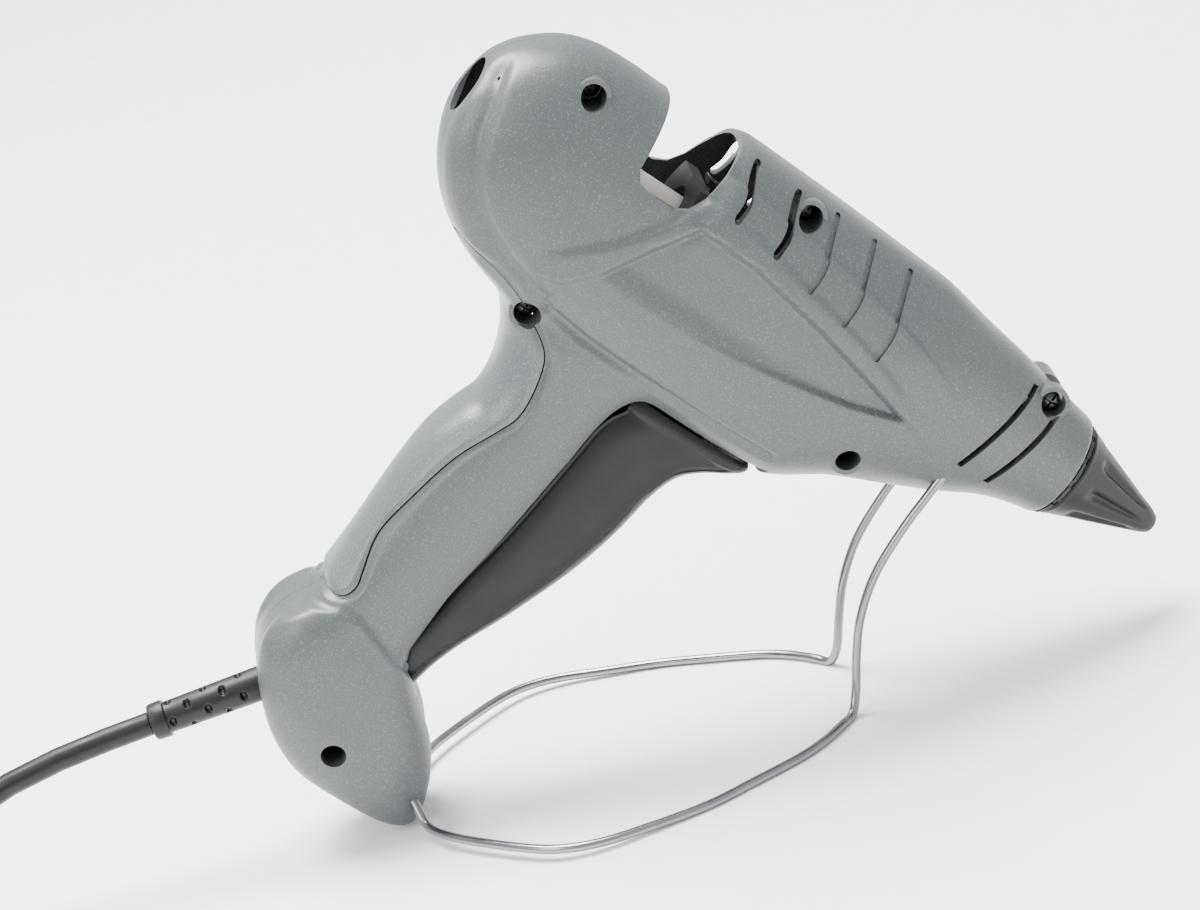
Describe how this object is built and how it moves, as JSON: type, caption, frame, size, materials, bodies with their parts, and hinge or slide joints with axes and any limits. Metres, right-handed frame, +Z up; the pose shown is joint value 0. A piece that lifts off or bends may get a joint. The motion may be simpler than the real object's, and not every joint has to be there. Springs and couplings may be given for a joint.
{
  "type": "hot glue gun",
  "caption": "Mains hot glue gun with a full-length trigger, stick feed, silicone-covered nozzle, bent wire stand and cord.",
  "frame": {"origin": "centre of the gun's bounding box on the table, measured without the cord and what is on it", "axes": "+X towards the nozzle along the table, +Y to the gun's left, +Z up; the gun stands nose-down on its foot and wire stand"},
  "size_m": [0.526, 0.1448, 0.2082],
  "materials": {
    "abs_grey": "fine grained, satin",
    "abs_insert": "satin with a fine sparkle",
    "pa_black": "matte",
    "trigger_plastic": "fine grained",
    "silicone": "matte",
    "steel_wire": "bright drawn",
    "steel": "plain",
    "black_steel": "blackened",
    "aluminium_cast": "as cast",
    "brass": "turned",
    "pps_tan": "glass filled",
    "glue": "translucent",
    "ceramic": "fired",
    "pvc_cord": "matte",
    "wire_insulation": "plain",
    "nylon_clear": "plain"
  },
  "bodies": {
    "gun": {"housing_right": "abs_grey", "housing_left": "abs_grey", "grip_insert": "abs_insert", "inlet_bush": "pa_black", "housing_screws": "black_steel", "trigger_pin": "black_steel", "trigger_spring": "steel_wire", "lever_pin": "steel", "guide_rods": "steel", "guide_bracket": "pa_black", "inlet_sleeve": "silicone", "melt_chamber": "aluminium_cast", "heaters": "ceramic", "heater_plate": "aluminium_cast", "plate_screws": "black_steel", "thermal_fuse": "steel", "rear_support": "pps_tan", "front_support": "pps_tan", "nozzle": "brass", "nozzle_cover": "silicone", "nozzle_collar": "pa_black", "wire_stand": "steel_wire", "internal_leads": "wire_insulation", "terminal_block": "nylon_clear", "cord_clamp": "pa_black", "clamp_screws": "black_steel", "strain_relief": "pvc_cord", "cord": "pvc_cord", "cord_coil": "pvc_cord", "coil_tie": "pa_black", "plug_body": "pvc_cord", "plug_pins": "brass"},
    "trigger": {"trigger": "trigger_plastic", "drive_pin": "steel"},
    "lever": {"feed_lever": "pa_black"},
    "carriage": {"feed_carriage": "pa_black", "clamp_pin": "steel", "clamp_spring": "steel_wire"},
    "jaw": {"clamp_jaw": "black_steel"},
    "stick": {"glue_stick": "glue"}
  },
  "joints": [
    {"name": "trigger_pull", "type": "hinge", "parent": "gun", "child": "trigger", "pos_m": [-0.07069, 0, 0.04998], "axis": [0, -1, 0], "range_deg": [0, 15], "stiffness_Nm_per_rad": 2.4, "springref_deg": -6.88, "deforming": ["trigger_spring"]},
    {"name": "lever_turn", "type": "hinge", "parent": "gun", "child": "lever", "pos_m": [0.03184, 0, 0.1263], "axis": [0, 1, 0], "range_deg": [0, 57.9]},
    {"name": "carriage_slide", "type": "slide", "parent": "gun", "child": "carriage", "axis": [0.6521, 0, -0.7581], "range_m": [0, 0.01549]},
    {"name": "jaw_tilt", "type": "hinge", "parent": "carriage", "child": "jaw", "pos_m": [0.0472, 0, 0.14893], "axis": [0, -1, 0], "range_deg": [0, 9]},
    {"name": "stick_feed", "type": "slide", "parent": "gun", "child": "stick", "axis": [0.6521, 0, -0.7581], "range_m": [0, 0.01549]}
  ],
  "couplings": [
    {"joint": "lever_turn", "follows": "trigger_pull", "ratio": 3.86},
    {"joint": "carriage_slide", "follows": "trigger_pull", "m_per_rad": 0.059163},
    {"joint": "jaw_tilt", "follows": "trigger_pull", "ratio": 0.5999}
  ]
}
